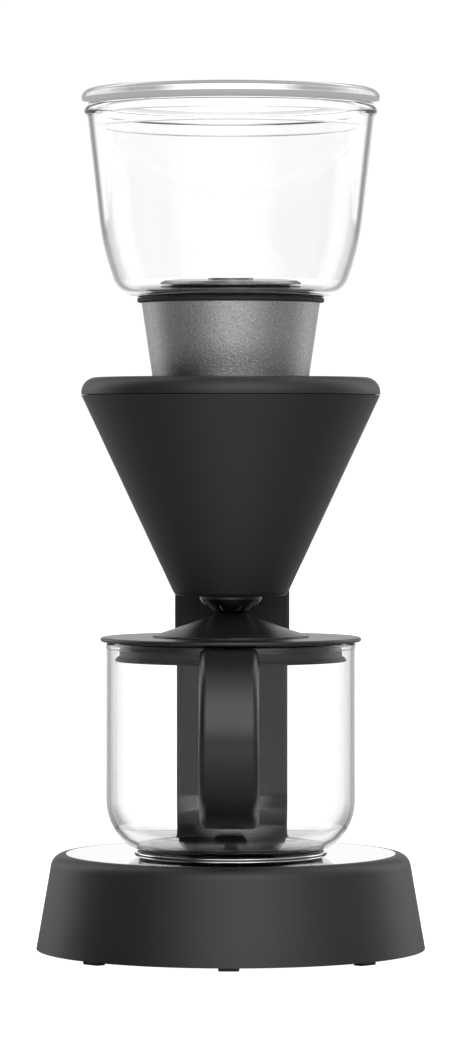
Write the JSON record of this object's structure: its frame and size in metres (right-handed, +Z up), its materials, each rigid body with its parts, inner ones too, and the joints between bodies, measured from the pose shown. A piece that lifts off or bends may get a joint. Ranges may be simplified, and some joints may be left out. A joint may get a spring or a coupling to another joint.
{
  "type": "coffee brewer",
  "caption": "Pour-over coffee brewer: round base with warming plate, slim rear column, glass water tank on top, slide-out filter cone and lidded glass carafe.",
  "frame": {"origin": "on the table under the middle of the round base", "axes": "+Z up, -Y to the front where the carafe handle points, +Y to the column and the cord gland, +X to the right"},
  "size_m": [0.2024, 0.208, 0.448],
  "materials": {
    "black_plastic": "fine matte texture",
    "inner_plastic": "plain moulded",
    "gloss_black": "glossy",
    "rubber": "matte soft",
    "clear_glass": "clear",
    "blasted_aluminium": "bead blasted",
    "mirror_steel": "mirror polished",
    "plate_steel": "satin",
    "cast_aluminium": "as cast",
    "zinc_steel": "zinc plated",
    "circuit_board": "lacquered"
  },
  "bodies": {
    "root": {"base_shell": "black_plastic", "column_shell": "black_plastic", "column_rear_cover": "black_plastic", "head_housing": "black_plastic", "base_bottom_cover": "inner_plastic", "head_floor": "inner_plastic", "feed_duct": "inner_plastic", "riser_duct": "inner_plastic", "tank_socket": "inner_plastic", "check_valve": "inner_plastic", "switch_housing": "inner_plastic", "terminal_block": "inner_plastic", "cord_gland": "inner_plastic", "gland_nut": "inner_plastic", "thermostat": "inner_plastic", "base_feet": "rubber", "plate_seal": "rubber", "collar_seal": "rubber", "socket_oring": "rubber", "heater_inlet_hose": "rubber", "feed_hose": "rubber", "riser_hose": "rubber", "socket_hose": "rubber", "collar": "blasted_aluminium", "trim_plate": "mirror_steel", "warming_plate": "plate_steel", "spray_plate": "plate_steel", "heater_casting": "cast_aluminium", "base_screws": "zinc_steel", "heater_screws": "zinc_steel", "heater_clamp": "zinc_steel", "column_screws": "zinc_steel", "head_screws": "zinc_steel", "hose_clamps": "zinc_steel", "heater_element": "zinc_steel", "thermal_fuse": "zinc_steel", "control_board": "circuit_board"},
    "tank": {"tank_bowl": "clear_glass", "tank_gasket": "rubber", "tank_outlet_plate": "plate_steel", "tank_outlet_body": "inner_plastic", "tank_outlet_cap": "plate_steel", "tank_nut": "inner_plastic", "tank_valve_spring": "zinc_steel"},
    "tank_valve": {"tank_valve_poppet": "inner_plastic"},
    "tank_cover": {"tank_lid": "clear_glass"},
    "filter_holder": {"filter_cone": "black_plastic", "filter_basket": "inner_plastic", "drip_dome": "gloss_black", "drip_seal": "rubber", "drip_spring": "zinc_steel"},
    "drip_stop": {"drip_plunger": "inner_plastic"},
    "carafe": {"carafe_glass": "clear_glass", "carafe_handle": "black_plastic", "handle_pads": "rubber"},
    "carafe_lid": {"carafe_lid_disc": "black_plastic", "carafe_lid_funnel": "black_plastic", "carafe_lid_plug": "black_plastic", "lid_gasket": "rubber"},
    "switch": {"switch_rocker": "gloss_black"}
  },
  "joints": [
    {"name": "tank_lift", "type": "slide", "parent": "root", "child": "tank", "axis": [0, 0, 1], "range_m": [0, 0.12]},
    {"name": "tank_valve_travel", "type": "slide", "parent": "tank", "child": "tank_valve", "axis": [0, 0, 1], "range_m": [-0.003, 0], "deforming": ["tank_valve_spring"]},
    {"name": "tank_lid_lift", "type": "slide", "parent": "tank", "child": "tank_cover", "axis": [0, 0, 1], "range_m": [0, 0.085]},
    {"name": "filter_slide", "type": "slide", "parent": "root", "child": "filter_holder", "axis": [0, -1, 0], "range_m": [0, 0.16]},
    {"name": "drip_stop_travel", "type": "slide", "parent": "filter_holder", "child": "drip_stop", "axis": [0, 0, 1], "range_m": [-0.0025, 0], "deforming": ["drip_spring"]},
    {"name": "carafe_slide", "type": "slide", "parent": "root", "child": "carafe", "axis": [0, -1, 0], "range_m": [0, 0.22]},
    {"name": "carafe_lid_turn", "type": "hinge", "parent": "carafe", "child": "carafe_lid", "pos_m": [0, 0, 0.1625], "axis": [0, 0, 1], "range_deg": [0, 90]},
    {"name": "power_switch", "type": "hinge", "parent": "root", "child": "switch", "pos_m": [0, 0.091, 0.072], "axis": [1, 0, 0], "range_deg": [-16, 0]}
  ],
  "couplings": [
    {"joint": "tank_valve_travel", "follows": "tank_lift", "ratio": -0.025},
    {"joint": "drip_stop_travel", "follows": "carafe_slide", "ratio": -0.01136}
  ]
}
